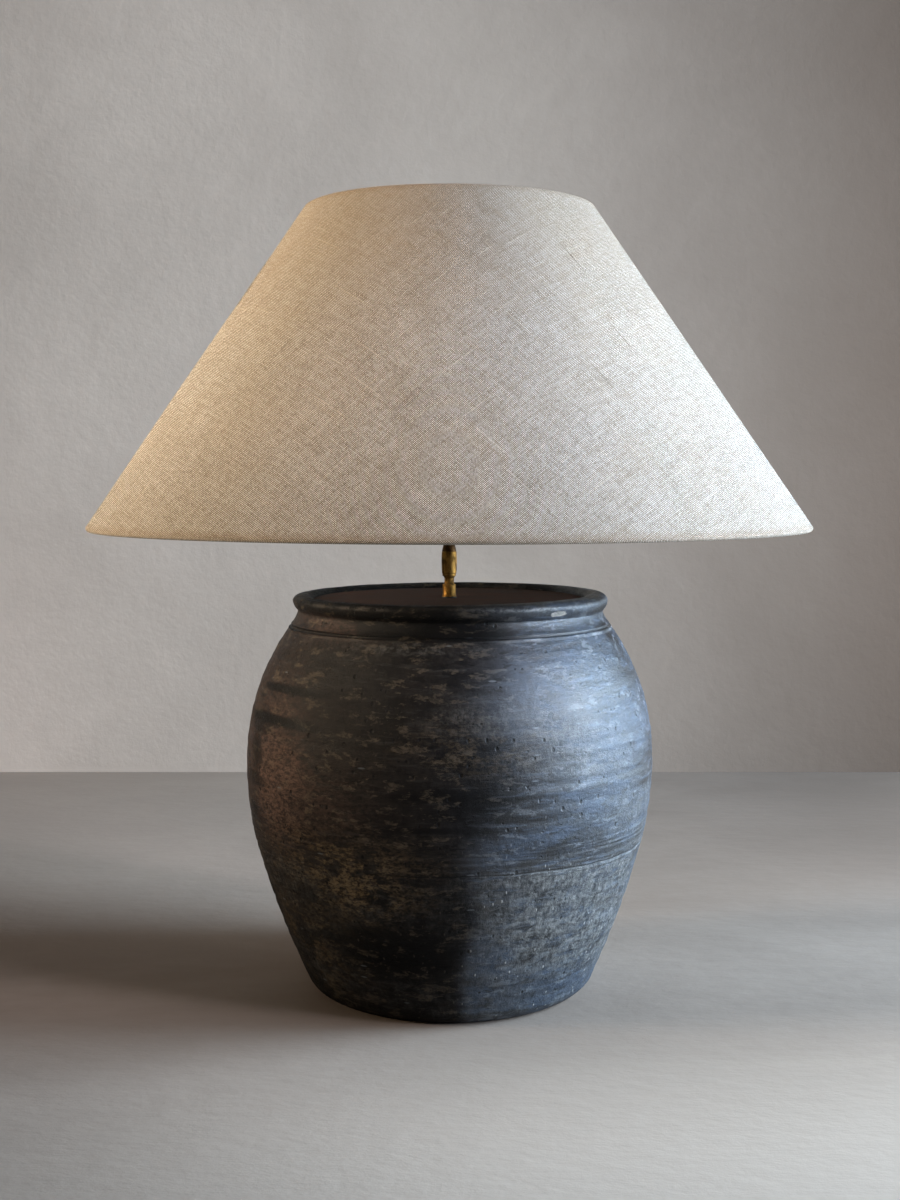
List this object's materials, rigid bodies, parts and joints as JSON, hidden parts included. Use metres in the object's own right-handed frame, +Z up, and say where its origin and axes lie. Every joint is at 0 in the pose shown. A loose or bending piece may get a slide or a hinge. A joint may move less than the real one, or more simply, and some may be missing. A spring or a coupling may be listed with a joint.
{
  "type": "table lamp",
  "caption": "Table lamp with a dark thrown stoneware jar base, a turned brass ball swivel and a wide natural linen cone shade.",
  "frame": {"origin": "centre of the jar's foot on the table", "axes": "+Z up, +Y to the back, the side of the cord hole, -Y to the front as pictured"},
  "size_m": [0.6999, 0.7, 0.7592],
  "materials": {
    "stoneware": "weathered satin slip, dark slate to umber",
    "stained_wood": "dark stain, matt",
    "black_rubber": "matt",
    "steel": "zinc plated",
    "antique_brass": "antique, satin",
    "dark_brass": "antique, darkened",
    "white_plastic": "plain",
    "black_plastic": "matt",
    "white_ceramic": "glazed",
    "bright_metal": "bright",
    "contact_brass": "bright",
    "opal_glass": "opal",
    "white_paint": "satin",
    "white_styrene": "matt",
    "linen": "plain weave with slubs"
  },
  "bodies": {
    "base": {"jar": "stoneware", "lid_disc": "stained_wood", "cord_grommet": "black_rubber", "neck_washer": "black_rubber", "clamp_pads": "black_rubber", "stem_tube": "steel", "lid_washer": "steel", "lid_nut": "steel", "clamp_bar": "steel", "clamp_washer": "steel", "clamp_nut": "steel"},
    "swivel_foot": {"swivel_stem": "antique_brass"},
    "head": {"swivel_ring": "antique_brass", "swivel_barrel": "antique_brass", "swivel_top_nut": "dark_brass", "swivel_seat": "white_plastic", "swivel_springs": "steel", "nipple": "steel", "holder_cap": "black_plastic", "holder_sleeve": "black_plastic", "shade_ring_lower": "black_plastic", "shade_ring_upper": "black_plastic", "holder_insert": "white_ceramic", "holder_shell": "bright_metal", "holder_contact": "contact_brass", "terminal_screws": "contact_brass", "bulb_glass": "opal_glass", "bulb_cap": "bright_metal", "bulb_insulator": "black_plastic", "bulb_tip": "bright_metal", "shade_hub": "white_paint", "shade_arms": "white_paint", "shade_bottom_ring": "white_paint", "shade_top_ring": "white_paint", "shade_liner": "white_styrene", "shade_cover": "linen"}
  },
  "joints": [
    {"name": "swivel_turn", "type": "hinge", "parent": "base", "child": "swivel_foot", "pos_m": [0, 0, 0.385], "axis": [0, 0, 1], "range_deg": [-170, 170]},
    {"name": "shade_lean", "type": "hinge", "parent": "swivel_foot", "child": "head", "pos_m": [0, 0, 0.39918], "axis": [1, 0, 0], "range_deg": [-20, 20]}
  ]
}
